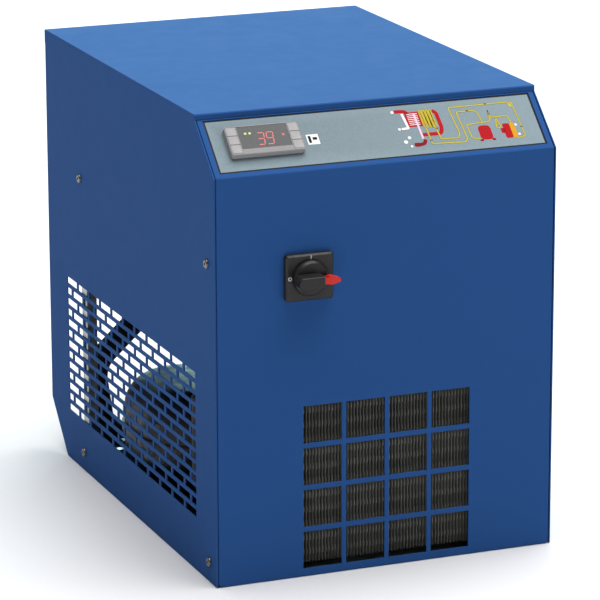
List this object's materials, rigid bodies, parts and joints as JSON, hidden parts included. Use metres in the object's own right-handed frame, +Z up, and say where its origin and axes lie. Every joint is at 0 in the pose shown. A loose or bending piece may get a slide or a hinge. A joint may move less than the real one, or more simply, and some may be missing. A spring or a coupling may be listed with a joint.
{
  "type": "refrigerated air dryer",
  "caption": "Bench-high refrigerated compressed-air dryer in a sheet-metal cabinet with a sloping control face, main switch, front intake and side grilles.",
  "frame": {"origin": "centre of the cabinet's underside, on the surface it stands on", "axes": "+Z up, the front panel faces -Y, +X to the right as seen from the front"},
  "size_m": [0.355, 0.5491, 0.45],
  "materials": {
    "bezel_plastic": "fine matte",
    "black_enamel": "semi-gloss",
    "brass_fitting": "satin",
    "cabinet_paint": "satin powder coat",
    "coil_plastic": "gloss",
    "condenser_aluminium": "dark coated",
    "control_plate_plastic": "fine matte",
    "copper": "dull",
    "display_panel": "gloss",
    "fan_plastic": "satin",
    "foam_insulation": "closed-cell foam",
    "galvanised_steel": "galvanised",
    "gasket_rubber": "matte",
    "housing_plastic": "satin",
    "key_plastic": "fine matte",
    "lever_red": "dipped",
    "motor_metal": "satin",
    "pump_iron": "rough",
    "screw_steel": "blackened",
    "slider_red": "gloss",
    "switch_black": "satin",
    "tube_plastic": "satin"
  },
  "bodies": {
    "cabinet": {"air_inlet_pipe": "foam_insulation", "air_outlet_pipe": "foam_insulation", "air_port_fittings": "brass_fitting", "air_return_pipe": "foam_insulation", "base_pan": "galvanised_steel", "cable_gland": "fan_plastic", "capillary_tube": "copper", "compressor_bolts": "galvanised_steel", "compressor_copper_tubes": "copper", "compressor_grommets": "gasket_rubber", "compressor_lower_shell": "black_enamel", "compressor_pump": "pump_iron", "compressor_terminal_cover": "fan_plastic", "compressor_upper_shell": "black_enamel", "condenser_end_plates": "galvanised_steel", "condenser_fins": "condenser_aluminium", "condenser_tubes": "copper", "control_plate": "control_plate_plastic", "control_plate_gasket": "gasket_rubber", "controller_bezel": "bezel_plastic", "controller_housing": "housing_plastic", "display_window": "display_panel", "drain_outlet": "brass_fitting", "drain_solenoid_body": "brass_fitting", "drain_solenoid_coil": "coil_plastic", "drain_tubes": "tube_plastic", "drain_valve_body": "brass_fitting", "fan_bracket": "galvanised_steel", "fan_motor": "motor_metal", "fan_shroud": "motor_metal", "filter_drier": "copper", "front_panel": "cabinet_paint", "heat_exchanger_coil": "foam_insulation", "hot_gas_lines": "copper", "hot_gas_valve": "brass_fitting", "left_side_panel": "cabinet_paint", "liquid_line": "copper", "moisture_separator": "black_enamel", "panel_screws": "screw_steel", "rear_panel": "cabinet_paint", "rear_posts": "galvanised_steel", "right_side_panel": "cabinet_paint", "suction_line": "copper", "switch_body": "housing_plastic", "switch_plate": "switch_black", "top_panel": "cabinet_paint"},
    "switch_knob": {"switch_handle": "switch_black", "switch_shaft": "galvanised_steel"},
    "lock_slider": {"padlock_slider": "slider_red"},
    "fan": {"fan_blades": "fan_plastic", "fan_shaft": "galvanised_steel"},
    "drain_ball": {"drain_valve_ball": "galvanised_steel", "drain_valve_lever": "lever_red"},
    "drain_plunger": {"drain_solenoid_plunger": "galvanised_steel"},
    "key_left_top_cap": {"key_left_top": "key_plastic"},
    "key_left_middle_cap": {"key_left_middle": "key_plastic"},
    "key_left_bottom_cap": {"key_left_bottom": "key_plastic"},
    "key_right_top_cap": {"key_right_top": "key_plastic"},
    "key_right_middle_cap": {"key_right_middle": "key_plastic"},
    "key_right_bottom_cap": {"key_right_bottom": "key_plastic"}
  },
  "joints": [
    {"name": "main_switch", "type": "hinge", "parent": "cabinet", "child": "switch_knob", "pos_m": [-0.082, -0.265, 0.298], "axis": [0, 1, 0], "range_deg": [0, 90]},
    {"name": "padlock_slide", "type": "slide", "parent": "switch_knob", "child": "lock_slider", "axis": [-1, 0, 0], "range_m": [0, 0.005]},
    {"name": "fan_spin", "type": "hinge", "parent": "cabinet", "child": "fan", "pos_m": [0, -0.188, 0.097], "axis": [0, 1, 0], "continuous": true},
    {"name": "drain_ball_turn", "type": "hinge", "parent": "cabinet", "child": "drain_ball", "pos_m": [0.03, 0.195, 0.057], "axis": [0, 1, 0], "range_deg": [0, 90]},
    {"name": "drain_plunger_lift", "type": "slide", "parent": "cabinet", "child": "drain_plunger", "axis": [0, 0, 1], "range_m": [0, 0.0025], "stiffness_N_per_m": 600},
    {"name": "key_left_top_press", "type": "slide", "parent": "cabinet", "child": "key_left_top_cap", "axis": [0, 0.6704, -0.742], "range_m": [0, 0.0008], "stiffness_N_per_m": 400},
    {"name": "key_left_middle_press", "type": "slide", "parent": "cabinet", "child": "key_left_middle_cap", "axis": [0, 0.6704, -0.742], "range_m": [0, 0.0008], "stiffness_N_per_m": 400},
    {"name": "key_left_bottom_press", "type": "slide", "parent": "cabinet", "child": "key_left_bottom_cap", "axis": [0, 0.6704, -0.742], "range_m": [0, 0.0008], "stiffness_N_per_m": 400},
    {"name": "key_right_top_press", "type": "slide", "parent": "cabinet", "child": "key_right_top_cap", "axis": [0, 0.6704, -0.742], "range_m": [0, 0.0008], "stiffness_N_per_m": 400},
    {"name": "key_right_middle_press", "type": "slide", "parent": "cabinet", "child": "key_right_middle_cap", "axis": [0, 0.6704, -0.742], "range_m": [0, 0.0008], "stiffness_N_per_m": 400},
    {"name": "key_right_bottom_press", "type": "slide", "parent": "cabinet", "child": "key_right_bottom_cap", "axis": [0, 0.6704, -0.742], "range_m": [0, 0.0008], "stiffness_N_per_m": 400}
  ]
}
